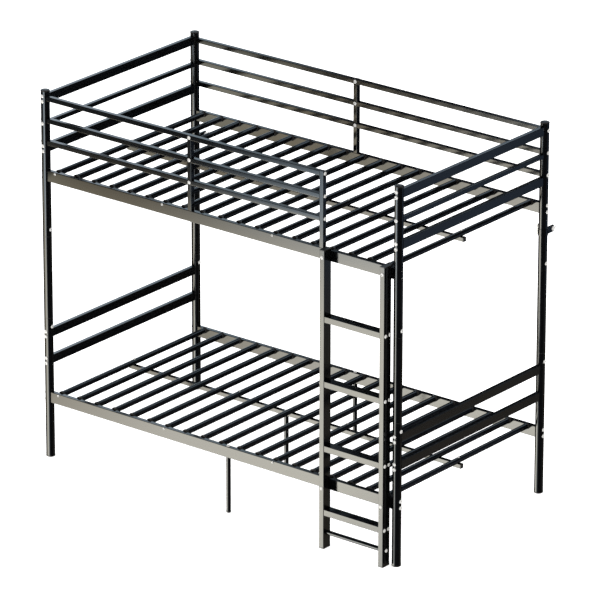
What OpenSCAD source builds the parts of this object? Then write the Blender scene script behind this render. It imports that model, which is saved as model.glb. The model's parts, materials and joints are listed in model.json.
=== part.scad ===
// Twin-over-twin metal bunk bed with a bolted ladder.
// Millimetres. X runs along the bed (head end at -X, foot end at +X),
// -Y is the ladder side, +Z is up. The origin is on the floor, midway between the four posts.

/* [Overall] */
// Distance between the post axes along the bed
post_span_x = 1940; // [1600:5:2400]
// Distance between the post axes across the bed
post_span_y = 1020; // [800:5:1400]
// Height from the floor to the top of the post caps
bed_h = 1722; // [1600:1:2200]
// Top edge of the upper side rails above the floor
upper_rail_z = 1352; // [1150:1:1450]
// Top edge of the lower side rails above the floor
lower_rail_z = 310; // [250:1:420]

/* [Posts] */
// Outside diameter of the round posts
post_d = 40; // [32:0.5:55]
// Wall of the posts
post_wall = 1; // [0.8:0.1:2.5]
// Height of the lower seam, where the middle tube starts
lower_seam_z = 660; // [500:1:800]
// Height of the upper seam, where the middle tube ends
upper_seam_z = 1044; // [900:1:1150]
// Length of the reduced spigots at both ends of a middle tube
spigot_len = 55; // [30:1:90]
// Height of the joint bolt above the upper seam
upper_joint_rise = 32; // [15:1:45]
// Depth of the joint bolt below the lower seam
lower_joint_drop = 40; // [15:1:45]

/* [Side rails] */
// Height of a side rail
side_h = 50; // [40:1:80]
// Thickness of a side rail across the bed
side_t = 22; // [18:1:40]
// Distance of each of the two end bolts from the rail's middle line
side_bolt_rise = 15; // [8:0.5:20]

/* [End rails] */
// Height of a wide end rail
wide_h = 40; // [30:1:60]
// Thickness of the end rails along the bed, and height of the thin one
end_t = 20; // [15:0.5:30]
// Depth of the top end rail's middle below the cap tops
end_top_drop = 40; // [30:1:80]
// Spacing of the three upper end rails
end_pitch = 114.5; // [80:0.5:140]
// Height of the middle of the lower frame's top end rail
low_end_top_z = 585; // [500:1:620]
// Spacing of the two lower end rails
low_end_pitch = 126; // [80:1:160]
// Distance of each of the two bolts of a wide rail from its middle line
wide_bolt_rise = 12; // [7:0.5:12.5]

/* [Guard rails] */
// Side of the square guard rails and guard posts
guard_s = 21.5; // [15:0.5:30]
// Depth of the top guard rail's middle below the cap tops
guard_top_drop = 39.5; // [30:0.5:80]
// Spacing of the three guard rails
guard_pitch = 101.2; // [70:0.1:110]
// Position along the bed of the post that ends the front guard
guard_end_x = 567; // [200:1:700]

/* [Slats] */
// Number of slats in each deck
slat_count = 19; // [13:6:25]
// Spacing of the slats
slat_pitch = 101.15; // [60:0.05:130]
// Diameter of a slat
slat_d = 26; // [16:0.5:30]
// Depth of the slat axis below the top edge of the side rail
slat_drop = 7; // [6:0.5:20]

/* [Centre beams and legs] */
// Side of the square centre beam
beam_s = 20; // [15:1:40]
// Overhang of the beam past the middle of the last slat
beam_overhang = 17; // [14:0.5:40]
// Diameter of the three middle legs
leg_d = 20; // [16:0.5:30]
// Position along the bed of the leg under the centre beam
beam_leg_x = -36; // [-45:1:-20]

/* [Ladder] */
// Middle of the left stringer along the bed
stringer_left_x = 609; // [500:1:700]
// Middle of the right stringer along the bed
stringer_right_x = 929; // [850:1:931]
// Width of a stringer along the bed
stringer_w = 25; // [20:1:40]
// Depth of a stringer across the bed
stringer_t = 48; // [30:1:60]
// Height of the stringers above the top edge of the upper side rail
stringer_rise = 13; // [5:1:60]
// Height of the middle of the top tread
tread_top_z = 1054; // [900:1:1150]
// Spacing of the treads
tread_pitch = 295; // [220:1:300]
// Height of a tread
tread_h = 28; // [20:1:40]
// Depth of a tread
tread_t = 44; // [25:1:56]
// Height of the bottom rod
rod_z = 72; // [40:1:110]
// Diameter of the bottom rod
rod_d = 20; // [14:0.5:30]

/* [Wall brackets] */
// Height of the middle of the wall bracket
bracket_z = 1218; // [1140:1:1280]
// Height of the bracket's collar and arm
bracket_h = 30; // [20:1:40]
// Reach of the bracket arm behind the post axis
bracket_reach = 66; // [45:1:100]

/* [Hidden] */
$fn = 32;
end_signs = [-1, 1];
// Radial gap of anything that fits round or inside another part
fit = 0.05;
// Wall and corner radius of the rectangular tubes
tube_wall = 0.9;
tube_corner = 2;
// Solid length at the end of a tube that takes a bolt thread
end_block = 18;
post_r = post_d/2;
post_in_r = post_r - post_wall;
foot_h = 6;
cap_h = 7;
plug_len = 16;
post_foot_z = foot_h;
post_top_z = bed_h - cap_h;
spigot_r = post_in_r - 2*fit;
spigot_wall = 1.2;
seam_bevel = 0.6;

// Fasteners: shank, button head and their holes
m6_r = 3;
m5_r = 2.5;
clear = 0.3;
m6_head_r = 8.3;
m5_head_r = 5.5;
head_h = 4.4;
hex_r = 2.3;
hex_deep = 2.2;
thread_len = 14;
// Weld nut on the back of a middle guard post
nut_r = 5;
nut_len = 5;

half_x = post_span_x/2;
half_y = post_span_y/2;
side_face_y = half_y + side_t/2;
side_inner_y = half_y - side_t/2;
upper_side_z = upper_rail_z - side_h/2;
lower_side_z = lower_rail_z - side_h/2;

end_z = [for (i = [0:2]) bed_h - end_top_drop - i*end_pitch];
low_end_z = [low_end_top_z, low_end_top_z - low_end_pitch];
guard_z = [for (i = [0:2]) bed_h - guard_top_drop - i*guard_pitch];
upper_end_bolts = [end_z[0] + wide_bolt_rise, end_z[0] - wide_bolt_rise, end_z[1],
    end_z[2] + wide_bolt_rise, end_z[2] - wide_bolt_rise];
lower_end_bolts = [for (z = low_end_z) for (s = end_signs) z + s*wide_bolt_rise];
upper_side_bolts = [for (s = end_signs) upper_side_z + s*side_bolt_rise];
lower_side_bolts = [for (s = end_signs) lower_side_z + s*side_bolt_rise];
upper_joint_z = upper_seam_z + upper_joint_rise;
lower_joint_z = lower_seam_z - lower_joint_drop;

slat_span = (slat_count - 1)*slat_pitch;
slat_x = [for (i = [0:slat_count - 1]) i*slat_pitch - slat_span/2];
slat_bolt_step = (slat_count - 1)/3;
slat_cap_wall = 2;
slat_cap_r = slat_d/2 + 2;
slat_cap_len = 12;
slat_end_y = side_inner_y - slat_cap_wall;
peg_r = 4;
peg_len = 5;

// Guard posts stand in the gaps half a slat pitch from a slat
back_mid_x = -slat_pitch/2;
front_mid_x = -1.5*slat_pitch;
front_leg_x = slat_pitch/2;
back_leg_x = -slat_pitch/2;
beam_half = slat_span/2 + beam_overhang;
beam_plug_t = 4;
leg_foot_h = 8;

stringer_y = -side_face_y - stringer_t/2;
stringer_top_z = upper_rail_z + stringer_rise;
stringer_plug_t = 4;
plug_lip = 1;
stringer_foot_t = 6;
ladder_bolt_z = [upper_rail_z - 21, lower_rail_z - 31];
tread_z = [for (i = [0:3]) tread_top_z - i*tread_pitch];
tread_bolt_y = 14;
tread_x0 = stringer_left_x + stringer_w/2;
tread_x1 = stringer_right_x - stringer_w/2;

collar_t = 2.5;
arm_t = 8;
arm_x = 6;
eye_inset = 6;
eye_head_r = 10.5;
eye_tail = 3;
anchor_r = 4.5;
anchor_len = 6;
anchor_pin_r = 2.5;
anchor_pin_len = 16;
clamp_w = 16;
clamp_t = 7;
clamp_h = 44;

// Part to draw

// ---- shapes shared by the parts ----

// Rounded rectangle centred on the origin
module rounded(w, h, r) {
    steps = 4;
    polygon([for (c = [0:3]) for (i = [0:steps]) let (a = 90*c + 90*i/steps)
        [(c == 0 || c == 3 ? 1 : -1)*(w/2 - r) + r*cos(a), (c < 2 ? 1 : -1)*(h/2 - r) + r*sin(a)]]);
}

module along_x(x0, x1) {
    translate([x0, 0, 0]) rotate([90, 0, 90]) linear_extrude(x1 - x0) children();
}

module along_y(y0, y1) {
    translate([0, y0, 0]) rotate([-90, 0, 0]) linear_extrude(y1 - y0) children();
}

// Rectangular tube along X with solid ends of length block
module tube_x(x0, x1, y, z, t, h, block) {
    translate([0, y, z]) difference() {
        along_x(x0, x1) rounded(t, h, tube_corner);
        along_x(x0 + block, x1 - block) rounded(t - 2*tube_wall, h - 2*tube_wall, tube_corner - tube_wall);
    }
}

module tube_y(y0, y1, x, z, t, h, block) {
    translate([x, 0, z]) difference() {
        along_y(y0, y1) rounded(t, h, tube_corner);
        along_y(y0 + block, y1 - block) rounded(t - 2*tube_wall, h - 2*tube_wall, tube_corner - tube_wall);
    }
}

module tube_z(z0, z1, x, y, w, t, low_block, top_block) {
    translate([x, y, 0]) difference() {
        translate([0, 0, z0]) linear_extrude(z1 - z0) rounded(w, t, tube_corner);
        translate([0, 0, z0 + low_block]) linear_extrude(z1 - z0 - low_block - top_block)
            rounded(w - 2*tube_wall, t - 2*tube_wall, tube_corner - tube_wall);
    }
}

// Drills of radius r from p, running len along an axis
module drill_x(p, r, len) {
    translate(p) rotate([0, 90, 0]) cylinder(r = r, h = len);
}

module drill_y(p, r, len) {
    translate(p) rotate([-90, 0, 0]) cylinder(r = r, h = len);
}

module drill_z(p, r, len) {
    translate(p) cylinder(r = r, h = len);
}

// Button-head bolt: the underside of the head at the origin, head towards +Z
module bolt(r, len, head_r) {
    difference() {
        rotate_extrude() polygon([[0, -len], [r, -len], [r, 0], [head_r, 0], [head_r, 0.3*head_h],
            [0.92*head_r, 0.62*head_h], [0.7*head_r, 0.88*head_h], [0.4*head_r, head_h], [0, head_h]]);
        translate([0, 0, head_h - hex_deep]) cylinder(r = hex_r, h = hex_deep + 1, $fn = 6);
    }
}

// Puts a bolt at p with its head towards side s of X, Y or Z
module bolt_x(p, s, r, len, head_r) {
    translate(p) rotate([0, 90*s, 0]) bolt(r, len, head_r);
}

module bolt_y(p, s, r, len, head_r) {
    translate(p) rotate([-90*s, 0, 0]) bolt(r, len, head_r);
}

module bolt_z(p, s, r, len, head_r) {
    translate(p) rotate([s > 0 ? 0 : 180, 0, 0]) bolt(r, len, head_r);
}

// The space a post and its running gap take out of a rail end
module post_cope() {
    for (sx = end_signs) for (sy = end_signs)
        translate([sx*half_x, sy*half_y, -1]) cylinder(r = post_r + fit, h = bed_h + 2, $fn = 64);
}

// ---- posts ----

// The outside of a post tube, its rims bevelled so that a seam shows as a fine groove
module post_outside(z0, z1) {
    rotate_extrude($fn = 64) polygon([[0, z0], [post_r - seam_bevel, z0], [post_r, z0 + seam_bevel],
        [post_r, z1 - seam_bevel], [post_r - seam_bevel, z1], [0, z1]]);
}

module post_tube(sx, sy, z0, z1, y_holes, x_holes) {
    color("#1b1b1d") translate([sx*half_x, sy*half_y, 0]) difference() {
        post_outside(z0, z1);
        translate([0, 0, z0 - 1]) cylinder(r = post_in_r, h = z1 - z0 + 2, $fn = 64);
        for (z = y_holes) drill_y([0, -post_r - 1, z], m6_r + clear, post_d + 2);
        for (z = x_holes) drill_x([-post_r - 1, 0, z], m6_r + clear, post_d + 2);
    }
}

module post_lower(sx, sy) {
    x_holes = concat(lower_side_bolts, [lower_joint_z]);
    post_tube(sx, sy, post_foot_z, lower_seam_z, lower_end_bolts, x_holes);
}

module post_upper(sx, sy) {
    guarded = sx < 0 || sy > 0;
    x_holes = concat(upper_side_bolts, guarded ? guard_z : [], [upper_joint_z]);
    post_tube(sx, sy, upper_seam_z, post_top_z, upper_end_bolts, x_holes);
}

module post_middle(sx, sy) {
    color("#1b1b1d") translate([sx*half_x, sy*half_y, 0]) difference() {
        union() {
            post_outside(lower_seam_z, upper_seam_z);
            translate([0, 0, lower_seam_z - spigot_len])
                cylinder(r = spigot_r, h = upper_seam_z - lower_seam_z + 2*spigot_len, $fn = 64);
        }
        translate([0, 0, lower_seam_z - spigot_len - 1]) cylinder(r = spigot_r - spigot_wall,
            h = upper_seam_z - lower_seam_z + 2*spigot_len + 2, $fn = 64);
        for (z = [upper_joint_z, lower_joint_z]) drill_x([-post_r - 1, 0, z], m6_r + clear, post_d + 2);
    }
}

module post_foot_caps() {
    color("#17130f") for (sx = end_signs) for (sy = end_signs) translate([sx*half_x, sy*half_y, 0])
        rotate_extrude($fn = 64) polygon([[0, 0], [post_r - 1, 0], [post_r + 0.4, 1.4],
            [post_r + 0.4, foot_h], [post_in_r - fit, foot_h],
            [post_in_r - fit, foot_h + plug_len], [0, foot_h + plug_len]]);
}

module post_top_caps() {
    color("#17130f") for (sx = end_signs) for (sy = end_signs)
        translate([sx*half_x, sy*half_y, post_top_z]) rotate_extrude($fn = 64)
            polygon([[0, -plug_len], [post_in_r - fit, -plug_len], [post_in_r - fit, 0], [post_r + 0.8, 0],
                [post_r + 0.8, 0.3*cap_h], [post_r - 0.4, 0.62*cap_h], [0.8*post_r, 0.84*cap_h],
                [0.5*post_r, 0.96*cap_h], [0, cap_h]]);
}

module post_joint_bolts() {
    color("#d8d6d2") for (sx = end_signs) for (sy = end_signs) for (z = [upper_joint_z, lower_joint_z])
        bolt_x([sx*half_x + post_r, sy*half_y, z], 1, m6_r, post_d - 1, m6_head_r);
}

// ---- end rails ----

module end_rail(sx, z, h, bolt_rises) {
    color("#1b1b1d") difference() {
        tube_y(-half_y + post_r/2, half_y - post_r/2, sx*half_x, z, end_t, h, post_r/2 + end_block);
        post_cope();
        for (b = bolt_rises) for (sy = end_signs)
            drill_y([sx*half_x, sy > 0 ? half_y - post_r - thread_len : -half_y, z + b], m6_r + fit,
                post_r + thread_len);
    }
}

module wide_end_rail(sx, z) {
    end_rail(sx, z, wide_h, [wide_bolt_rise, -wide_bolt_rise]);
}

module end_rail_bolts() {
    all_z = concat(upper_end_bolts, lower_end_bolts);
    color("#d8d6d2") for (sx = end_signs) for (sy = end_signs) for (z = all_z)
        bolt_y([sx*half_x, sy*(half_y + post_r), z], sy, m6_r, post_d + thread_len - 1, m6_head_r);
}

// ---- side rails ----

module side_rail_body(sy, z_top) {
    difference() {
        tube_x(-half_x + post_r/2, half_x - post_r/2, sy*half_y, z_top - side_h/2, side_t, side_h,
            post_r/2 + end_block);
        post_cope();
        for (i = [0:slat_count - 1]) if (i % slat_bolt_step == 0)
            drill_y([slat_x[i], sy*half_y - side_t/2 - 1, z_top - slat_drop], m5_r + clear, side_t + 2);
        else
            drill_y([slat_x[i], sy*half_y - (sy > 0 ? side_t/2 + 1 : 0), z_top - slat_drop], peg_r + fit,
                side_t/2 + 1);
    }
}

// Threads for the two bolts at the end sx of a side rail
module side_rail_threads(sx, sy, z_mid) {
    for (b = end_signs)
        drill_x([sx > 0 ? half_x - post_r - thread_len : -half_x, sy*half_y, z_mid + b*side_bolt_rise],
            m6_r + fit, post_r + thread_len);
}

module side_rail_upper_front() {
    color("#1b1b1d") difference() {
        side_rail_body(-1, upper_rail_z);
        for (sx = end_signs) side_rail_threads(sx, -1, upper_side_z);
        for (x = [stringer_left_x, stringer_right_x])
            drill_y([x, -side_face_y - 1, ladder_bolt_z[0]], m6_r + fit, side_t + 2);
        for (x = [front_mid_x, guard_end_x])
            drill_z([x, -half_y, upper_rail_z - side_h - 1], m6_r + clear, side_h + 2);
    }
}

module side_rail_upper_back() {
    color("#1b1b1d") difference() {
        side_rail_body(1, upper_rail_z);
        for (sx = end_signs) side_rail_threads(sx, 1, upper_side_z);
        drill_z([back_mid_x, half_y, upper_rail_z - side_h - 1], m6_r + clear, side_h + 2);
    }
}

module side_rail_lower_front() {
    color("#1b1b1d") difference() {
        side_rail_body(-1, lower_rail_z);
        for (sx = end_signs) side_rail_threads(sx, -1, lower_side_z);
        for (x = [stringer_left_x, stringer_right_x])
            drill_y([x, -side_face_y - 1, ladder_bolt_z[1]], m6_r + fit, side_t + 2);
        drill_z([front_leg_x, -half_y, lower_rail_z - side_h - 1], m6_r + clear, side_h + 2);
    }
}

module side_rail_lower_back() {
    color("#1b1b1d") difference() {
        side_rail_body(1, lower_rail_z);
        for (sx = end_signs) side_rail_threads(sx, 1, lower_side_z);
        drill_z([back_leg_x, half_y, lower_rail_z - side_h - 1], m6_r + clear, side_h + 2);
    }
}

module side_rail_bolts() {
    color("#d8d6d2") for (sx = end_signs) for (sy = end_signs) {
        for (z = lower_side_bolts)
            bolt_x([sx*(half_x + post_r), sy*half_y, z], sx, m6_r, post_d + thread_len - 1, m6_head_r);
        if (sx < 0 || sy > 0) for (z = upper_side_bolts)
            bolt_x([sx*(half_x + post_r), sy*half_y, z], sx, m6_r, post_d + thread_len - 1, m6_head_r);
        if (sx > 0 && sy < 0) for (z = upper_side_bolts) set_screw(z);
    }
}

// Headless screw behind the ladder, flush with the post
module set_screw(z) {
    difference() {
        drill_x([half_x - post_r - thread_len + 1, -half_y, z], m6_r, post_d + thread_len - 1.5);
        translate([half_x + post_r - 0.5 - hex_deep, -half_y, z]) rotate([0, 90, 0])
            cylinder(r = 0.75*hex_r, h = hex_deep + 1, $fn = 6);
    }
}

// ---- decks ----

module slat(i, z) {
    bolted = i % slat_bolt_step == 0;
    translate([slat_x[i], 0, z]) difference() {
        drill_y([0, -slat_end_y, 0], slat_d/2, 2*slat_end_y);
        drill_y([0, bolted ? end_block - slat_end_y : -slat_end_y - 1, 0], slat_d/2 - tube_wall,
            2*slat_end_y + (bolted ? -2*end_block : 2));
        if (bolted) for (sy = end_signs)
            drill_y([0, sy > 0 ? slat_end_y - thread_len : -slat_end_y - 1, 0], m5_r + fit, thread_len + 1);
        if (bolted) drill_z([0, 0, -slat_d], m5_r + clear, 2*slat_d);
    }
}

module slat_deck(z_top) {
    color("#1b1b1d") for (i = [0:slat_count - 1]) slat(i, z_top - slat_drop);
}

module slat_cap(i, sy, z) {
    bolted = i % slat_bolt_step == 0;
    translate([slat_x[i], sy*side_inner_y, z]) rotate([sy > 0 ? 90 : -90, 0, 0]) difference() {
        union() {
            cylinder(r = slat_cap_r, h = slat_cap_len);
            if (!bolted) translate([0, 0, -peg_len]) cylinder(r = peg_r, h = peg_len + 1);
        }
        translate([0, 0, slat_cap_wall]) cylinder(r = slat_d/2 + fit, h = slat_cap_len);
        if (bolted) translate([0, 0, -1]) cylinder(r = m5_r + clear, h = slat_cap_wall + 2);
    }
}

module slat_end_caps() {
    color("#131313") for (z = [upper_rail_z, lower_rail_z])
        for (i = [0:slat_count - 1]) for (sy = end_signs) slat_cap(i, sy, z - slat_drop);
}

module slat_rail_bolts() {
    color("#d8d6d2") for (z = [upper_rail_z, lower_rail_z]) for (i = [0:slat_bolt_step:slat_count - 1])
        for (sy = end_signs)
            bolt_y([slat_x[i], sy*side_face_y, z - slat_drop], sy, m5_r,
                side_t + slat_cap_wall + thread_len - 1, m5_head_r);
}

module slat_beam_bolts() {
    color("#d8d6d2") for (z = [upper_rail_z, lower_rail_z]) for (i = [0:slat_bolt_step:slat_count - 1])
        bolt_z([slat_x[i], 0, z - slat_drop + slat_d/2], 1, m5_r, slat_d + beam_s/2, m5_head_r);
}

module centre_beam(z_top, leg_hole) {
    z = z_top - slat_drop - slat_d/2 - beam_s/2;
    color("#1b1b1d") difference() {
        tube_x(-beam_half, beam_half, 0, z, beam_s, beam_s, -1);
        for (i = [0:slat_bolt_step:slat_count - 1]) drill_z([slat_x[i], 0, z], m5_r + fit, beam_s);
        if (leg_hole) drill_z([beam_leg_x, 0, z - beam_s], m6_r + clear, 2*beam_s);
    }
}

module beam_end_plugs() {
    in_s = beam_s - 2*tube_wall - 2*fit;
    color("#131313") for (z_top = [upper_rail_z, lower_rail_z]) for (sx = end_signs)
        translate([sx*beam_half, 0, z_top - slat_drop - slat_d/2 - beam_s/2]) {
            along_x(sx > 0 ? 0 : -beam_plug_t, sx > 0 ? beam_plug_t : 0)
                rounded(beam_s, beam_s, tube_corner);
            along_x(sx > 0 ? -plug_len/2 : -1, sx > 0 ? 1 : plug_len/2)
                rounded(in_s, in_s, tube_corner - tube_wall);
        }
}

// ---- middle legs ----

module leg(x, y, z_top) {
    color("#1b1b1d") translate([x, y, 0]) difference() {
        translate([0, 0, leg_foot_h]) cylinder(r = leg_d/2, h = z_top - leg_foot_h);
        translate([0, 0, leg_foot_h - 1])
            cylinder(r = leg_d/2 - tube_wall, h = z_top - leg_foot_h - end_block + 1);
        drill_z([0, 0, z_top - thread_len], m6_r + fit, thread_len + 1);
    }
}

module leg_foot_caps() {
    color("#131313") for (p = [[front_leg_x, -half_y], [beam_leg_x, 0], [back_leg_x, half_y]])
        translate([p[0], p[1], 0]) rotate_extrude() polygon([[0, 0], [leg_d/2 - 0.6, 0],
            [leg_d/2 + 0.6, 1.2], [leg_d/2 + 0.6, leg_foot_h], [leg_d/2 - tube_wall - fit, leg_foot_h],
            [leg_d/2 - tube_wall - fit, leg_foot_h + plug_len], [0, leg_foot_h + plug_len]]);
}

module leg_bolts() {
    beam_top_z = lower_rail_z - slat_drop - slat_d/2;
    color("#d8d6d2") {
        bolt_z([front_leg_x, -half_y, lower_rail_z], 1, m6_r, side_h + thread_len - 1, m6_head_r);
        bolt_z([back_leg_x, half_y, lower_rail_z], 1, m6_r, side_h + thread_len - 1, m6_head_r);
        bolt_z([beam_leg_x, 0, beam_top_z], 1, m6_r, beam_s + thread_len - 1, m6_head_r);
    }
}

// ---- guards ----

module guard_rails_front() {
    x1 = guard_end_x - guard_s/2;
    color("#1b1b1d") for (z = guard_z) difference() {
        tube_x(-half_x + post_r/2, x1, -half_y, z, guard_s, guard_s, post_r/2 + end_block);
        post_cope();
        drill_x([-half_x, -half_y, z], m6_r + fit, post_r + thread_len);
        drill_x([x1 - thread_len, -half_y, z], m6_r + fit, thread_len + 1);
        drill_y([front_mid_x, -half_y - guard_s, z], m6_r + clear, 2*guard_s);
    }
}

module guard_rails_back() {
    color("#1b1b1d") for (z = guard_z) difference() {
        tube_x(-half_x + post_r/2, half_x - post_r/2, half_y, z, guard_s, guard_s, post_r/2 + end_block);
        post_cope();
        drill_x([-half_x, half_y, z], m6_r + fit, post_r + thread_len);
        drill_x([half_x - post_r - thread_len, half_y, z], m6_r + fit, post_r + thread_len);
        drill_y([back_mid_x, half_y - guard_s, z], m6_r + clear, 2*guard_s);
    }
}

// Middle guard post: the rails lie in notches cut from its front, against its back wall
module guard_mid_post(x, y) {
    front_y = y - guard_s/2;
    deep = guard_s + fit + tube_wall;
    color("#1b1b1d") difference() {
        union() {
            tube_z(upper_rail_z, guard_z[0] + guard_s/2, x, front_y + deep/2, guard_s, deep, end_block, -1);
            for (z = guard_z) drill_y([x, front_y + deep - tube_wall/2, z], nut_r, nut_len + tube_wall/2);
        }
        for (z = guard_z) {
            translate([x - guard_s, front_y - 1, z - guard_s/2 - fit])
                cube([2*guard_s, guard_s + fit + 1, guard_s + (z == guard_z[0] ? 2 : 1)*2*fit]);
            drill_y([x, y, z], m6_r + fit, 2*guard_s);
        }
        drill_z([x, y, upper_rail_z - 1], m6_r + fit, thread_len + 1);
    }
}

module guard_post_front_mid() {
    guard_mid_post(front_mid_x, -half_y);
}

module guard_post_back_mid() {
    guard_mid_post(back_mid_x, half_y);
}

module guard_post_front_end() {
    color("#1b1b1d") difference() {
        tube_z(upper_rail_z, guard_z[0] + guard_s/2, guard_end_x, -half_y, guard_s, guard_s,
            end_block, end_block/6);
        for (z = guard_z) drill_x([guard_end_x - guard_s, -half_y, z], m6_r + clear, 2*guard_s);
        drill_z([guard_end_x, -half_y, upper_rail_z - 1], m6_r + fit, thread_len + 1);
    }
}

module guard_bolts() {
    cross_len = guard_s + fit + tube_wall + nut_len;
    color("#d8d6d2") {
        for (z = guard_z) {
            for (p = [[-1, -1], [-1, 1], [1, 1]])
                bolt_x([p[0]*(half_x + post_r), p[1]*half_y, z], p[0], m6_r,
                    post_d + thread_len - 1, m6_head_r);
            bolt_x([guard_end_x + guard_s/2, -half_y, z], 1, m6_r, guard_s + thread_len - 1, m6_head_r);
            bolt_y([front_mid_x, -half_y - guard_s/2, z], -1, m6_r, cross_len, m6_head_r);
            bolt_y([back_mid_x, half_y - guard_s/2, z], -1, m6_r, cross_len, m6_head_r);
        }
        for (p = [[front_mid_x, -half_y], [guard_end_x, -half_y], [back_mid_x, half_y]])
            bolt_z([p[0], p[1], upper_rail_z - side_h], -1, m6_r, side_h + thread_len - 1, m6_head_r);
    }
}

// ---- ladder ----

module stringer(x) {
    color("#1b1b1d") difference() {
        tube_z(stringer_foot_t, stringer_top_z - stringer_plug_t, x, stringer_y,
            stringer_w, stringer_t, -1, -1);
        for (z = tread_z) for (b = end_signs)
            drill_x([x - stringer_w, stringer_y + b*tread_bolt_y, z], m6_r + clear, 2*stringer_w);
        drill_x([x - stringer_w, stringer_y, rod_z], m6_r + clear, 2*stringer_w);
        for (z = ladder_bolt_z) drill_y([x, stringer_y - stringer_t, z], m6_r + clear, 2*stringer_t);
    }
}

module ladder_treads() {
    color("#1b1b1d") for (z = tread_z) difference() {
        tube_x(tread_x0, tread_x1, stringer_y, z, tread_t, tread_h, end_block);
        for (b = end_signs) {
            drill_x([tread_x0 - 1, stringer_y + b*tread_bolt_y, z], m6_r + fit, thread_len + 1);
            drill_x([tread_x1 - thread_len, stringer_y + b*tread_bolt_y, z], m6_r + fit, thread_len + 1);
        }
    }
}

module ladder_bottom_rod() {
    color("#1b1b1d") difference() {
        drill_x([tread_x0, stringer_y, rod_z], rod_d/2, tread_x1 - tread_x0);
        drill_x([tread_x0 + end_block, stringer_y, rod_z], rod_d/2 - tube_wall,
            tread_x1 - tread_x0 - 2*end_block);
        drill_x([tread_x0 - 1, stringer_y, rod_z], m6_r + fit, thread_len + 1);
        drill_x([tread_x1 - thread_len, stringer_y, rod_z], m6_r + fit, thread_len + 1);
    }
}

module ladder_tread_bolts() {
    color("#d8d6d2") for (p = [[stringer_left_x, -1], [stringer_right_x, 1]]) {
        for (z = tread_z) for (b = end_signs)
            bolt_x([p[0] + p[1]*stringer_w/2, stringer_y + b*tread_bolt_y, z], p[1], m6_r,
                stringer_w + thread_len - 1, m6_head_r);
        bolt_x([p[0] + p[1]*stringer_w/2, stringer_y, rod_z], p[1], m6_r,
            stringer_w + thread_len - 1, m6_head_r);
    }
}

module ladder_mount_bolts() {
    color("#d8d6d2") for (x = [stringer_left_x, stringer_right_x]) for (z = ladder_bolt_z)
        bolt_y([x, stringer_y - stringer_t/2, z], -1, m6_r, stringer_t + side_t - 1, m6_head_r);
}

module ladder_end_plugs() {
    in_w = stringer_w - 2*tube_wall - 2*fit;
    in_t = stringer_t - 2*tube_wall - 2*fit;
    color("#131313") for (x = [stringer_left_x, stringer_right_x]) translate([x, stringer_y, 0]) {
        linear_extrude(stringer_foot_t) rounded(stringer_w + plug_lip, stringer_t, tube_corner);
        translate([0, 0, stringer_foot_t - 1]) linear_extrude(plug_len + 1)
            rounded(in_w, in_t, tube_corner - tube_wall);
        translate([0, 0, stringer_top_z - stringer_plug_t])
            linear_extrude(stringer_plug_t)
                rounded(stringer_w + 2*plug_lip, stringer_t + 2*plug_lip, tube_corner + plug_lip);
        translate([0, 0, stringer_top_z - stringer_plug_t - plug_len/2])
            linear_extrude(plug_len/2 + 1) rounded(in_w, in_t, tube_corner - tube_wall);
    }
}

// ---- wall brackets ----

module wall_brackets() {
    eye_y = bracket_reach - eye_inset;
    color("#1b1b1d") for (sx = end_signs) translate([sx*half_x, half_y, bracket_z]) difference() {
        union() {
            translate([0, 0, -bracket_h/2]) cylinder(r = post_r + collar_t, h = bracket_h, $fn = 64);
            translate([arm_x - arm_t/2, post_r, -bracket_h/2])
                cube([arm_t, bracket_reach - post_r, bracket_h]);
        }
        translate([0, 0, -bracket_h]) cylinder(r = post_r + fit, h = 2*bracket_h, $fn = 64);
        drill_x([arm_x - arm_t/2 - 1, eye_y, 0], m6_r + clear, arm_t + 2);
        drill_y([arm_x, eye_y, 0], anchor_pin_r + fit, eye_inset + 1);
    }
}

// Each arm's cross bolt with the wall pin screwed into it, and the collar's clamp
module wall_bracket_fittings() {
    eye_y = bracket_reach - eye_inset;
    color("#d8d6d2") for (sx = end_signs) translate([sx*half_x, half_y, bracket_z]) {
        union() {
            bolt_x([arm_x + arm_t/2, eye_y, 0], 1, m6_r, arm_t + eye_tail, eye_head_r);
            drill_y([arm_x, eye_y, 0], anchor_pin_r, eye_inset + anchor_len + anchor_pin_len);
            drill_y([arm_x, bracket_reach, 0], anchor_r, anchor_len);
        }
        difference() {
            translate([-post_r - collar_t - clamp_t, -clamp_w/2, -clamp_h/3])
                cube([clamp_t, clamp_w, clamp_h]);
            translate([0, 0, -bracket_h]) cylinder(r = post_r + collar_t + fit, h = 3*bracket_h, $fn = 64);
        }
    }
}

// ---- assembly ----

post_lower(-1, -1);  // post_lower_head_front
post_lower(-1, 1);  // post_lower_head_back
post_lower(1, -1);  // post_lower_foot_front
post_lower(1, 1);  // post_lower_foot_back
post_middle(-1, -1);  // post_middle_head_front
post_middle(-1, 1);  // post_middle_head_back
post_middle(1, -1);  // post_middle_foot_front
post_middle(1, 1);  // post_middle_foot_back
post_upper(-1, -1);  // post_upper_head_front
post_upper(-1, 1);  // post_upper_head_back
post_upper(1, -1);  // post_upper_foot_front
post_upper(1, 1);  // post_upper_foot_back
post_foot_caps();
post_top_caps();
post_joint_bolts();
wide_end_rail(-1, end_z[0]);  // head_rail_upper_top
end_rail(-1, end_z[1], end_t, [0]);  // head_rail_upper_thin
wide_end_rail(-1, end_z[2]);  // head_rail_upper_low
wide_end_rail(-1, low_end_z[0]);  // head_rail_lower_top
wide_end_rail(-1, low_end_z[1]);  // head_rail_lower_low
wide_end_rail(1, end_z[0]);  // foot_rail_upper_top
end_rail(1, end_z[1], end_t, [0]);  // foot_rail_upper_thin
wide_end_rail(1, end_z[2]);  // foot_rail_upper_low
wide_end_rail(1, low_end_z[0]);  // foot_rail_lower_top
wide_end_rail(1, low_end_z[1]);  // foot_rail_lower_low
end_rail_bolts();
side_rail_upper_front();
side_rail_upper_back();
side_rail_lower_front();
side_rail_lower_back();
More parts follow.
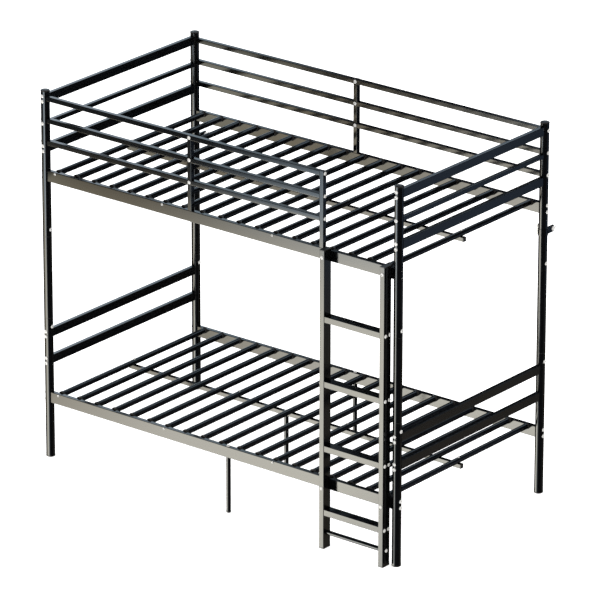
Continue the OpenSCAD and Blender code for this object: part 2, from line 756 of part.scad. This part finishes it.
side_rail_bolts();
slat_deck(upper_rail_z);  // slats_upper
slat_deck(lower_rail_z);  // slats_lower
slat_end_caps();
slat_rail_bolts();
slat_beam_bolts();
centre_beam(upper_rail_z, false);  // centre_beam_upper
centre_beam(lower_rail_z, true);  // centre_beam_lower
beam_end_plugs();
leg(front_leg_x, -half_y, lower_rail_z - side_h);  // leg_front
leg(beam_leg_x, 0, lower_rail_z - slat_drop - slat_d/2 - beam_s);  // leg_centre
leg(back_leg_x, half_y, lower_rail_z - side_h);  // leg_back
leg_foot_caps();
leg_bolts();
guard_rails_front();
guard_post_front_mid();
guard_post_front_end();
guard_rails_back();
guard_post_back_mid();
guard_bolts();
stringer(stringer_left_x);  // ladder_stringer_left
stringer(stringer_right_x);  // ladder_stringer_right
ladder_treads();
ladder_bottom_rod();
ladder_tread_bolts();
ladder_mount_bolts();
ladder_end_plugs();
wall_brackets();
wall_bracket_fittings();
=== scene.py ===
import json
import math
import bmesh
import bpy
from mathutils import Matrix, Vector


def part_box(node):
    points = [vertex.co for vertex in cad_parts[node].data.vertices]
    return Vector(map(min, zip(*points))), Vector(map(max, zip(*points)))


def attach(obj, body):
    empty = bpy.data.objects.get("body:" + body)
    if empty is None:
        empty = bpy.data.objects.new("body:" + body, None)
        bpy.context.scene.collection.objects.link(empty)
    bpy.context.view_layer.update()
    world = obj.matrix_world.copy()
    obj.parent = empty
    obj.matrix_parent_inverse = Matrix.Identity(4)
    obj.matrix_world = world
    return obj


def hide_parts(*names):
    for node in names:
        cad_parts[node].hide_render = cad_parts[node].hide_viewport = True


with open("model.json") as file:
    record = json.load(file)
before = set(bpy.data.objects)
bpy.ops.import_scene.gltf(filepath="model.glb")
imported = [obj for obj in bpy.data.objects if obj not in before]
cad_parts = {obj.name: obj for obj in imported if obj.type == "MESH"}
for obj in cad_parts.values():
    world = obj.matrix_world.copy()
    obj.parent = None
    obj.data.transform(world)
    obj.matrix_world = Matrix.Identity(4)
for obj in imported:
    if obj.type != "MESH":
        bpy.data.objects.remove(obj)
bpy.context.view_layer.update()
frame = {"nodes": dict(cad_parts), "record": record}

print("frame loaded:", len(frame["nodes"]), "nodes")


class Socket:
    # wraps an output socket so that shader maths reads as plain expressions
    def __init__(self, shader, out):
        self.shader = shader
        self.out = out

    def maths(self, operation, other=None, swap=False):
        values = [self.out] if other is None else [self.out, other]
        if swap:
            values.reverse()
        return self.shader.add("ShaderNodeMath", {"operation": operation}, values)

    def __add__(self, other):
        return self.maths("ADD", other)

    def __radd__(self, other):
        return self.maths("ADD", other, True)

    def __mul__(self, other):
        return self.maths("MULTIPLY", other)

    def __rmul__(self, other):
        return self.maths("MULTIPLY", other, True)

    def __sub__(self, other):
        return self.maths("SUBTRACT", other)

    def __rsub__(self, other):
        return self.maths("SUBTRACT", other, True)


class Shader:
    def __init__(self, name, world=None):
        self.owner = world or bpy.data.materials.new(name)
        self.owner.use_nodes = True
        self.tree = self.owner.node_tree
        self.tree.nodes.clear()
        self.end = self.tree.nodes.new("ShaderNodeOutputWorld" if world else "ShaderNodeOutputMaterial")

    # one node: its settings first, then values or links for its sockets by number or name
    def add(self, kind, settings=None, inputs=None, out=0):
        node = self.tree.nodes.new(kind)
        for key, value in (settings or {}).items():
            if key == "stops":
                while len(node.color_ramp.elements) < len(value):
                    node.color_ramp.elements.new(0.5)
                for element, stop in zip(node.color_ramp.elements, value):
                    element.position, element.color = stop
            else:
                setattr(node, key, value)
        pairs = enumerate(inputs) if isinstance(inputs, list) else (inputs or {}).items()
        for key, value in pairs:
            if isinstance(value, Socket):
                value = value.out
            if isinstance(value, bpy.types.NodeSocket):
                self.tree.links.new(value, node.inputs[key])
            else:
                node.inputs[key].default_value = value
        return Socket(self, node.outputs[out])

    def finish(self, surface):
        self.tree.links.new(surface.out, self.end.inputs["Surface"])
        return self.owner


def objectCoordinates(shader):
    return shader.add("ShaderNodeTexCoord", out="Object")


def mixColour(shader, factor, low, high):
    return shader.add("ShaderNodeMix", {"data_type": "RGBA"}, {0: factor, 6: low, 7: high}, 2)


def noise(shader, size, detail):
    return shader.add("ShaderNodeTexNoise", None, {
        "Vector": objectCoordinates(shader), "Scale": size, "Detail": detail})


def powderCoatMaterial():
    look = {
        "dark": (0.0008, 0.0009, 0.001, 1), "pale": (0.0026, 0.0026, 0.003, 1),
        "roughLow": 0.09, "roughSpread": 0.07, "cloudSize": 6.0, "peelSize": 700.0, "peelDepth": 0.00002,
        "peelStrength": 0.15, "ior": 1.5,
    }
    shader = Shader("powderCoat")
    cloud = noise(shader, look["cloudSize"], 3.0)
    peel = noise(shader, look["peelSize"], 1.0)
    bump = shader.add("ShaderNodeBump", None, {
        "Strength": look["peelStrength"], "Distance": look["peelDepth"], "Height": peel})
    surface = shader.add("ShaderNodeBsdfPrincipled", None, {
        "Base Color": mixColour(shader, cloud, look["dark"], look["pale"]),
        "Roughness": cloud * look["roughSpread"] + look["roughLow"],
        "Normal": bump, "IOR": look["ior"]})
    return shader.finish(surface)


def zincMaterial():
    look = {
        "dull": (0.5, 0.49, 0.47, 1), "bright": (0.72, 0.71, 0.68, 1), "cloudSize": 220.0,
        "roughLow": 0.35, "roughSpread": 0.15, "metallic": 0.2,
    }
    shader = Shader("zincPlate")
    cloud = noise(shader, look["cloudSize"], 3.0)
    surface = shader.add("ShaderNodeBsdfPrincipled", None, {
        "Base Color": mixColour(shader, cloud, look["dull"], look["bright"]),
        "Roughness": cloud * look["roughSpread"] + look["roughLow"], "Metallic": look["metallic"]})
    return shader.finish(surface)


def capPlasticMaterial():
    look = {
        "dark": (0.008, 0.007, 0.006, 1), "pale": (0.02, 0.017, 0.014, 1), "cloudSize": 40.0,
        "grainSize": 1800.0, "grainDepth": 0.00005, "grainStrength": 0.3, "roughLow": 0.35, "roughSpread": 0.2,
    }
    shader = Shader("capPlastic")
    cloud = noise(shader, look["cloudSize"], 4.0)
    grain = noise(shader, look["grainSize"], 2.0)
    bump = shader.add("ShaderNodeBump", None, {
        "Strength": look["grainStrength"], "Distance": look["grainDepth"], "Height": grain})
    surface = shader.add("ShaderNodeBsdfPrincipled", None, {
        "Base Color": mixColour(shader, cloud, look["dark"], look["pale"]),
        "Roughness": cloud * look["roughSpread"] + look["roughLow"], "Normal": bump})
    return shader.finish(surface)


materials = {
    "powder_coat": powderCoatMaterial(),
    "zinc": zincMaterial(),
    "cap_plastic": capPlasticMaterial(),
}
slotOf = {part["node"]: part["material_slot"] for part in frame["record"]["subparts"]}
print("materials made")


weldDistance = 0.000005
sharpDegrees = 32


class Tree:
    def __init__(self, name, inputs):
        self.group = bpy.data.node_groups.new(name, "GeometryNodeTree")
        sockets = self.group.interface.new_socket
        sockets("Geometry", in_out="INPUT", socket_type="NodeSocketGeometry")
        self.keys = {}
        for title, kind in inputs.items():
            made = sockets(title, in_out="INPUT", socket_type="NodeSocket" + kind)
            self.keys[title] = made.identifier
        sockets("Geometry", in_out="OUTPUT", socket_type="NodeSocketGeometry")
        self.start = self.add("NodeGroupInput")
        self.end = self.add("NodeGroupOutput")

    # one node: settings first, then values or links for its sockets by number or name
    def add(self, kind, settings=None, inputs=None):
        node = self.group.nodes.new(kind)
        for key, value in (settings or {}).items():
            setattr(node, key, value)
        for key, value in (inputs or {}).items():
            if isinstance(value, bpy.types.NodeSocket):
                self.group.links.new(value, node.inputs[key])
            else:
                node.inputs[key].default_value = value
        return node

    # rounds the shading but keeps edges sharper than the angle
    def smoothed(self, geometry):
        smooth = self.add("GeometryNodeSetShadeSmooth", None, {0: geometry})
        angle = self.add("GeometryNodeInputMeshEdgeAngle")
        over = self.add("ShaderNodeMath", {"operation": "GREATER_THAN"},
                        {0: angle.outputs["Unsigned Angle"], 1: math.radians(sharpDegrees)})
        sharp = self.add("GeometryNodeSetShadeSmooth", {"domain": "EDGE"},
                         {0: smooth.outputs[0], "Selection": over.outputs[0], "Shade Smooth": False})
        return sharp.outputs[0]

    def finish(self, geometry):
        self.group.links.new(geometry, self.end.inputs[0])
        return self


# merges a CAD node's loose triangles before rounding its shading
def smoothingTree():
    tree = Tree("smoothing", {})
    merge = tree.add("GeometryNodeMergeByDistance", None, {0: tree.start.outputs[0], "Distance": weldDistance})
    return tree.finish(tree.smoothed(merge.outputs[0]))


# puts a copy of a part on every point, its own +Z along the point's aim
def placingTree():
    tree = Tree("placing", {"Part": "Object", "Finish": "Material"})
    grow = tree.add("GeometryNodeInputNamedAttribute", {"data_type": "FLOAT_VECTOR"}, {"Name": "grow"})
    part = tree.add("GeometryNodeObjectInfo", None, {"Object": tree.start.outputs["Part"]})
    aim = tree.add("GeometryNodeInputNamedAttribute", {"data_type": "FLOAT_VECTOR"}, {"Name": "aim"})
    turn = tree.add("FunctionNodeAlignRotationToVector", {"axis": "Z"}, {"Vector": aim.outputs[0]})
    copies = tree.add("GeometryNodeInstanceOnPoints", None, {
        "Points": tree.start.outputs[0], "Instance": part.outputs["Geometry"], "Rotation": turn.outputs[0],
        "Scale": grow.outputs[0]})
    real = tree.add("GeometryNodeRealizeInstances", None, {0: copies.outputs[0]})
    finish = tree.add("GeometryNodeSetMaterial", None, {
        0: tree.smoothed(real.outputs[0]), "Material": tree.start.outputs["Finish"]})
    return tree.finish(finish.outputs[0])


smoothing = smoothingTree()
placing = placingTree()


def meshObject(name, points, faces):
    made = bpy.data.objects.new(name, bpy.data.meshes.new(name))
    made.data.from_pydata(points, [], faces)
    bpy.context.collection.objects.link(made)
    return made


# runs a tree on an object and keeps the result as a plain mesh that rides on the bed
def baked(name, host, tree, values, slotName, *replaced):
    modifier = host.modifiers.new(tree.group.name, "NODES")
    modifier.node_group = tree.group
    for title, value in values.items():
        modifier[tree.keys[title]] = value
    bpy.context.view_layer.update()
    result = host.evaluated_get(bpy.context.evaluated_depsgraph_get())
    piece = bpy.data.objects.new(name, bpy.data.meshes.new_from_object(result))
    piece.data.name = name
    bpy.context.collection.objects.link(piece)
    bpy.data.objects.remove(host)
    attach(piece, "root")
    if replaced:
        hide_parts(*replaced)
    return piece


# the separate solids of a CAD node, each as its corner points
def solidsOf(node):
    joined = bmesh.new()
    joined.from_mesh(frame["nodes"][node].data)
    bmesh.ops.remove_doubles(joined, verts=joined.verts, dist=weldDistance)
    left, solids = set(joined.verts), []
    while left:
        front, solid = [left.pop()], []
        while front:
            corner = front.pop()
            solid.append(corner.co.copy())
            for edge in corner.link_edges:
                other = edge.other_vert(corner)
                if other in left:
                    left.remove(other)
                    front.append(other)
        solids.append(solid)
    joined.free()
    return solids


def boxOf(points):
    low = Vector(min(p[axis] for p in points) for axis in range(3))
    high = Vector(max(p[axis] for p in points) for axis in range(3))
    return low, high


# rings of points about +Z, each ring (radius, height, sides); sides 6 makes the ring a hexagon
def lathed(name, rings, steps, capStart=True, capEnd=True):
    points, faces = [], []
    for radius, height, sides in rings:
        for i in range(steps):
            angle = 2*math.pi*i/steps
            reach = radius
            if sides == 6:
                reach = radius*math.cos(math.pi/6)/math.cos((angle + math.pi/6) % (math.pi/3) - math.pi/6)
            points.append((reach*math.cos(angle), reach*math.sin(angle), height))
    for ring in range(len(rings) - 1):
        for i in range(steps):
            j = (i + 1) % steps
            faces.append((ring*steps + i, ring*steps + j, (ring + 1)*steps + j, (ring + 1)*steps + i))
    if capStart:
        faces.append(tuple(reversed(range(steps))))
    if capEnd:
        faces.append(tuple(range((len(rings) - 1)*steps, len(rings)*steps)))
    return meshObject(name, points, faces)


# points with an aim and a size, for the placing tree
def seats(name, spots):
    host = meshObject(name, [spot[0] for spot in spots], [])
    host.data.attributes.new("aim", "FLOAT_VECTOR", "POINT")
    host.data.attributes.new("grow", "FLOAT_VECTOR", "POINT")
    for i, (place, aim, *size) in enumerate(spots):
        host.data.attributes["aim"].data[i].vector = aim
        host.data.attributes["grow"].data[i].vector = size[0] if size else (1, 1, 1)
    return host


boltLook = {
    "steps": 24, "socket": 0.48, "socketDepth": 0.6, "shank": 0.45,
    "dome": ((0.95, 0), (1, 0.07), (1, 0.2), (0.97, 0.36), (0.9, 0.56), (0.8, 0.74), (0.68, 0.88), (0.6, 0.95),
             (0.52, 1)),
}


# the head of every bolt in a node: where its underside sits, which way it faces and its size
def boltSeats(node):
    found = []
    for solid in solidsOf(node):
        low, high = boxOf(solid)
        size = high - low
        axis = max(range(3), key=lambda i: size[i])
        across = (axis + 1) % 3
        middle = (low + high)/2
        wide = [p[axis] for p in solid if abs(p[across] - middle[across]) > 0.49*size[across]]
        radius = size[across]/2
        aim = Vector((0, 0, 0))
        if max(wide) - min(wide) > size[axis]/2:  # a headless screw: it stays within its own length
            aim[axis] = math.copysign(1, middle[axis])
            found.append((middle, aim, radius, size[axis]/2))
            continue
        aim[axis] = 1 if sum(wide)/len(wide) > middle[axis] else -1
        place = middle.copy()
        place[axis] = min(wide) if aim[axis] > 0 else max(wide)
        top = high[axis] if aim[axis] > 0 else low[axis]
        found.append((place, aim, radius, abs(top - place[axis])))
    return found


# a domed head of radius 1 and height 1 with a hexagon socket, and the start of its shank
def boltHead():
    look = boltLook
    shank = [(look["shank"], -1, 0), (look["shank"], 0, 0)]
    dome = [(radius, height, 0) for radius, height in look["dome"]]
    socket = [(look["socket"], 0.97, 6), (look["socket"]*0.97, 1 - look["socketDepth"], 6),
              (0.05, 1 - look["socketDepth"] - 0.08, 0)]
    return lathed("boltHead", shank + dome + socket, look["steps"])


head = boltHead()
for node in sorted(name for name in frame["nodes"] if name.endswith("_bolts")):
    spots = [(place, aim, (radius, radius, height)) for place, aim, radius, height in boltSeats(node)]
    values = {"Part": head, "Finish": materials["zinc"]}
    baked(node + ".detailed", seats(node + ".seats", spots), placing, values, "zinc", node)
    print(node, len(spots), "heads")
bpy.data.objects.remove(head)


slatLook = {"steps": 28, "rim": 0.0012, "wall": 0.0009}
cupLook = {"steps": 24}


# a tube along Z with softened rims, long from its middle both ways
def slatTube(radius, half):
    rim = slatLook["rim"]
    return lathed("slatTube", [
        (radius - slatLook["wall"], -half, 0), (radius - rim/2, -half, 0), (radius, rim/2 - half, 0),
        (radius, half - rim/2, 0), (radius - rim/2, half, 0), (radius - slatLook["wall"], half, 0)],
        slatLook["steps"])


for node in ("slats_upper", "slats_lower"):
    spots = []
    for solid in solidsOf(node):
        low, high = boxOf(solid)
        spots.append(((low + high)/2, Vector((0, 1, 0))))
    tube = slatTube((high - low).x/2, (high - low).y/2)
    host = seats(node, spots)
    values = {"Part": tube, "Finish": materials["powder_coat"]}
    baked(node + ".detailed", host, placing, values, "powder_coat", node)
    bpy.data.objects.remove(tube)
    print(node, len(spots), "slats")


# a cup with a flared rim against the rail, a step and a rounded mouth round the slat
def slatCup(radius, length):
    return lathed("slatCup", [
        (0.3*radius, 0, 0), (radius, 0, 0), (radius*1.0, 0.12*length, 0), (radius*0.96, 0.2*length, 0),
        (radius*0.95, 0.86*length, 0), (radius*0.91, 0.97*length, 0), (radius*0.86, length, 0),
        (radius*0.845, 0.94*length, 0)], cupLook["steps"], True, False)


cupSpots = []
for solid in solidsOf("slat_end_caps"):
    low, high = boxOf(solid)
    side = 1 if low.y + high.y > 0 else -1
    middle = (low + high)/2
    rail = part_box("side_rail_upper_back")[0].y if side > 0 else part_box("side_rail_upper_front")[1].y
    cupSpots.append((Vector((middle.x, rail, middle.z)), Vector((0, -side, 0))))
    cupRadius, cupLength = (high - low).x/2, abs((low.y if side > 0 else high.y) - rail)
cup = slatCup(cupRadius, cupLength)
values = {"Part": cup, "Finish": materials["cap_plastic"]}
baked("slat_end_caps.detailed", seats("cups", cupSpots), placing, values, "cap_plastic", "slat_end_caps")
bpy.data.objects.remove(cup)
print("slat cups", len(cupSpots))


capLook = {"steps": 48, "lip": 0.0022, "plug": 0.004, "under": 0.0002, "edge": 0.0005, "crownStep": 10}

low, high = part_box("post_top_caps")
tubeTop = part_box("post_upper_head_front")[1].z
capSpots, capRadius = [], 0
for solid in solidsOf("post_top_caps"):
    cornerLow, cornerHigh = boxOf(solid)
    middle = (cornerLow + cornerHigh)/2
    capSpots.append((Vector((middle.x, middle.y, tubeTop)), Vector((0, 0, 1))))
    capRadius = (cornerHigh - cornerLow).x/2
rise = high.z - tubeTop
crown = [(capRadius*math.cos(a), capLook["lip"] + (rise - capLook["lip"])*math.sin(a), 0)
         for a in (math.radians(d) for d in range(0, 90, capLook["crownStep"]))]
topCap = lathed("topCap", [
    (0.8*capRadius, -capLook["plug"], 0), (0.93*capRadius, -capLook["under"], 0), (0.985*capRadius, 0, 0),
    (capRadius, capLook["edge"], 0), *crown], capLook["steps"])
values = {"Part": topCap, "Finish": materials["cap_plastic"]}
baked("post_top_caps.detailed", seats("caps", capSpots), placing, values, "cap_plastic", "post_top_caps")
bpy.data.objects.remove(topCap)
print("post caps made")


# a dark ring at each post's two seams: painted shade standing in for the shadow line in the seam groove
seamShadeLook = {"proud": 0.00015, "half": 0.0012, "steps": 48}
low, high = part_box("post_middle_foot_back")
postRadius = (high - low).x/2
line = lathed("seamLine", [
    (0.96*postRadius, -seamShadeLook["half"], 0), (postRadius + seamShadeLook["proud"], -seamShadeLook["half"]/2, 0),
    (postRadius + seamShadeLook["proud"], seamShadeLook["half"]/2, 0), (0.96*postRadius, seamShadeLook["half"], 0)],
    seamShadeLook["steps"], False, False)
seamSpots = []
for end in ("head", "foot"):
    for side in ("front", "back"):
        low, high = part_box("post_middle_" + end + "_" + side)
        middle = (low + high)/2
        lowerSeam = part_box("post_lower_" + end + "_" + side)[1].z
        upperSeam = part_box("post_upper_" + end + "_" + side)[0].z
        for height in (lowerSeam, upperSeam):
            seamSpots.append(((middle.x, middle.y, height), (0, 0, 1)))
values = {"Part": line, "Finish": materials["cap_plastic"]}
baked("post_seams", seats("seams", seamSpots), placing, values, "cap_plastic")
bpy.data.objects.remove(line)

for name, part in frame["nodes"].items():
    part.data.materials.clear()
    part.data.materials.append(materials[slotOf[name]])
    part.modifiers.new("smoothing", "NODES").node_group = smoothing.group
    weighted = part.modifiers.new("flatFaces", "WEIGHTED_NORMAL")
    weighted.keep_sharp = True
print("CAD nodes finished")


room = {
    "floorSize": 400.0, "floorDrop": 0.0005, "floorColour": (0.92, 0.92, 0.92, 1), "floorGlow": 0.6,
    "daylight": 1.75, "gloom": (0.018, 0.021, 0.028, 1),
}
bpy.ops.mesh.primitive_plane_add(size=room["floorSize"], location=(0, 0, -room["floorDrop"]))
floor = bpy.context.object
floor.name = "floor"
floorShader = Shader("paleFloor")
floorSurface = floorShader.add("ShaderNodeAddShader", None, [
    floorShader.add("ShaderNodeBsdfDiffuse", None, {"Color": room["floorColour"]}),
    floorShader.add("ShaderNodeEmission", None, {"Strength": room["floorGlow"]})])
floor.data.materials.append(floorShader.finish(floorSurface))
floor.visible_glossy = False  # the paint mirrors the light cards below floor level

# white all round for the floor and soft light, near dark in the paint's reflections
world = bpy.data.worlds.new("studio")
bpy.context.scene.world = world
sky = Shader("sky", world)
white = sky.add("ShaderNodeBackground", None, {"Strength": room["daylight"]})
gloom = sky.add("ShaderNodeBackground", None, {"Color": room["gloom"]})
mirrored = sky.add("ShaderNodeLightPath", out="Is Glossy Ray")
sky.finish(sky.add("ShaderNodeMixShader", None, [mirrored, white, gloom]))


cardLook = {
    "middle": (0, 0, 0.8), "slant": 1.2, "edgeTilt": 0.25, "edge": (0.77, 0.89),
    "stripTilt": 0.45, "strip": (1.31, 1.36), "stripGlow": (0.8, 1.0, 1.2, 1),
}


# a glowing sheet, seen in reflections only; its map counts metres across and up from its middle
def lightCard(name, facing, distance, width, height, glowOf):
    centre = Vector(cardLook["middle"]) + Vector(facing).normalized()*distance
    sheet = bpy.data.objects.new(name, bpy.data.meshes.new(name))
    across = Vector((0, 0, 1)).cross(Vector(facing)).normalized()
    up = Vector(facing).normalized().cross(across)
    spots = [(width[i], height[j]) for i, j in ((0, 0), (1, 0), (1, 1), (0, 1))]
    sheet.data.from_pydata([centre + across*x + up*y for x, y in spots], [], [(0, 1, 2, 3)])
    bpy.context.collection.objects.link(sheet)
    span = sheet.data.uv_layers.new(name="span")
    for loop, spot in zip(span.data, spots):
        loop.uv = spot
    shader = Shader(name)
    place = shader.add("ShaderNodeSeparateXYZ", None, [shader.add("ShaderNodeUVMap", {"uv_map": "span"})])
    rise = Socket(shader, place.out.node.outputs["Y"])
    glow = shader.add("ShaderNodeEmission", None, {"Color": glowOf(shader, place, rise), "Strength": 1.0})
    sheet.data.materials.append(shader.finish(glow))
    sheet.visible_camera = sheet.visible_diffuse = sheet.visible_shadow = False


# a colour that follows a value through stops given in that value's own units
def colourAlong(shader, value, stops):
    low, high = stops[0][0], stops[-1][0]
    scaled = [((at - low)/(high - low), (*colour, 1)) for at, colour in stops]
    return shader.add("ShaderNodeValToRGB", {"stops": scaled}, [(value - low)*(1/(high - low))])


def multiplied(shader, one, other):
    return shader.add("ShaderNodeMix", {
        "data_type": "RGBA", "blend_type": "MULTIPLY", "clamp_result": False}, {0: 1.0, 6: one, 7: other}, 2)


# low down: warm, and brighter towards the foot end; high up: cool, and black towards the head end
def frontGlow(shader, across, rise):
    slope = across - rise*cardLook["slant"]
    warm = colourAlong(shader, slope, [
        (-2.6, (3.5, 3.4, 2.8)), (-2.1, (4.0, 3.9, 3.2)), (-1.45, (3.2, 2.8, 2.0)),
        (-1.15, (3.1, 2.7, 2.0)),
        (-0.6, (4.5, 4.2, 3.4)), (-0.28, (6.0, 5.6, 4.7)), (0.4, (8.8, 8.5, 7.5)), (1.6, (10.2, 9.9, 8.7)),
        (2.6, (7.0, 7.0, 6.6)), (3.6, (2.5, 2.7, 2.8)), (8.5, (0.6, 0.7, 0.8))])
    cool = colourAlong(shader, slope, [
        (-2.6, (0.1, 0.12, 0.14)), (-0.95, (0.06, 0.07, 0.08)), (-0.67, (1.0, 1.25, 1.5)),
        (-0.42, (2.2, 2.7, 3.1)),
        (-0.2, (2.7, 3.3, 3.8)), (0.6, (5.0, 5.8, 6.4)), (2.0, (7.5, 8.2, 8.7)), (5.0, (5.5, 6.3, 6.8)),
        (8.5, (0, 0, 0))])
    height = shader.add("ShaderNodeMapRange", {"interpolation_type": "SMOOTHSTEP"}, {
        "Value": rise + across*cardLook["edgeTilt"],
        "From Min": cardLook["edge"][0], "From Max": cardLook["edge"][1]})
    reach = colourAlong(shader, across, [
        (-2.5, (0, 0, 0)), (-1.6, (0, 0, 0)), (-1.15, (1, 1, 1)), (2.8, (1, 1, 1)),
        (4.4, (0.06, 0.06, 0.06)), (8.0, (0, 0, 0))])
    return multiplied(shader, mixColour(shader, height, warm, cool), reach)


# bright on its right and along a slanting strip at the top
def backLeftGlow(shader, across, rise):
    side = colourAlong(shader, across, [
        (-3.5, (0, 0, 0)), (-0.3, (0.02, 0.025, 0.03)), (0.4, (0.8, 1.0, 1.15)), (1.2, (1.3, 1.5, 1.7)),
        (3.5, (0.5, 0.6, 0.7))])
    strip = shader.add("ShaderNodeMapRange", {"interpolation_type": "SMOOTHSTEP"}, {
        "Value": rise - across*cardLook["stripTilt"],
        "From Min": cardLook["strip"][0], "From Max": cardLook["strip"][1]})
    return mixColour(shader, strip, side, cardLook["stripGlow"])


def backRightGlow(shader, across, rise):
    side = colourAlong(shader, across, [
        (-4.0, (0, 0, 0)), (-2.0, (1, 1, 1)), (-0.4, (1, 1, 1)), (0.1, (0.1, 0.1, 0.1)), (4.0, (0, 0, 0))])
    height = colourAlong(shader, rise, [
        (-2.5, (0.2, 0.18, 0.15)), (0.1, (0.2, 0.18, 0.15)), (0.7, (0.18, 0.25, 0.37)),
        (2.5, (0.18, 0.25, 0.37))])
    return multiplied(shader, side, height)


lightCard("frontLeftCard", (-0.581, -0.728, -0.363), 4.0, (-2.5, 8.0), (-3.0, 2.5), frontGlow)
lightCard("backLeftCard", (-0.581, 0.728, 0.363), 3.0, (-3.5, 3.5), (-1.6, 2.2), backLeftGlow)
lightCard("backRightCard", (0.581, 0.728, -0.363), 5.0, (-4.0, 4.0), (-2.5, 2.5), backRightGlow)
bpy.context.scene.view_settings.view_transform = "Standard"
print("floor, sky and cards set")

view = {
    "azimuth": 38.58, "elevation": 21.264, "roll": 0.049, "distance": 25.1375,
    "target": (0, 0, 0.7814), "lens": 345.5, "sensor": 36, "shiftX": 0.01178, "shiftY": 0.01415,
    "farthest": 500,
}
camera = bpy.data.objects.new("camera", bpy.data.cameras.new("camera"))
bpy.context.collection.objects.link(camera)
around, above = math.radians(view["azimuth"]), math.radians(view["elevation"])
back = Vector((math.sin(around)*math.cos(above), -math.cos(around)*math.cos(above), math.sin(above)))
camera.location = Vector(view["target"]) + back*view["distance"]
turn = back.to_track_quat("Z", "Y").to_matrix().to_4x4()
camera.rotation_euler = (turn @ Matrix.Rotation(math.radians(view["roll"]), 4, "Z")).to_euler()
camera.data.sensor_width = view["sensor"]
camera.data.lens = view["lens"]
camera.data.shift_x = view["shiftX"]
camera.data.shift_y = view["shiftY"]
camera.data.clip_end = view["farthest"]
bpy.context.scene.camera = camera
print("room and camera set")
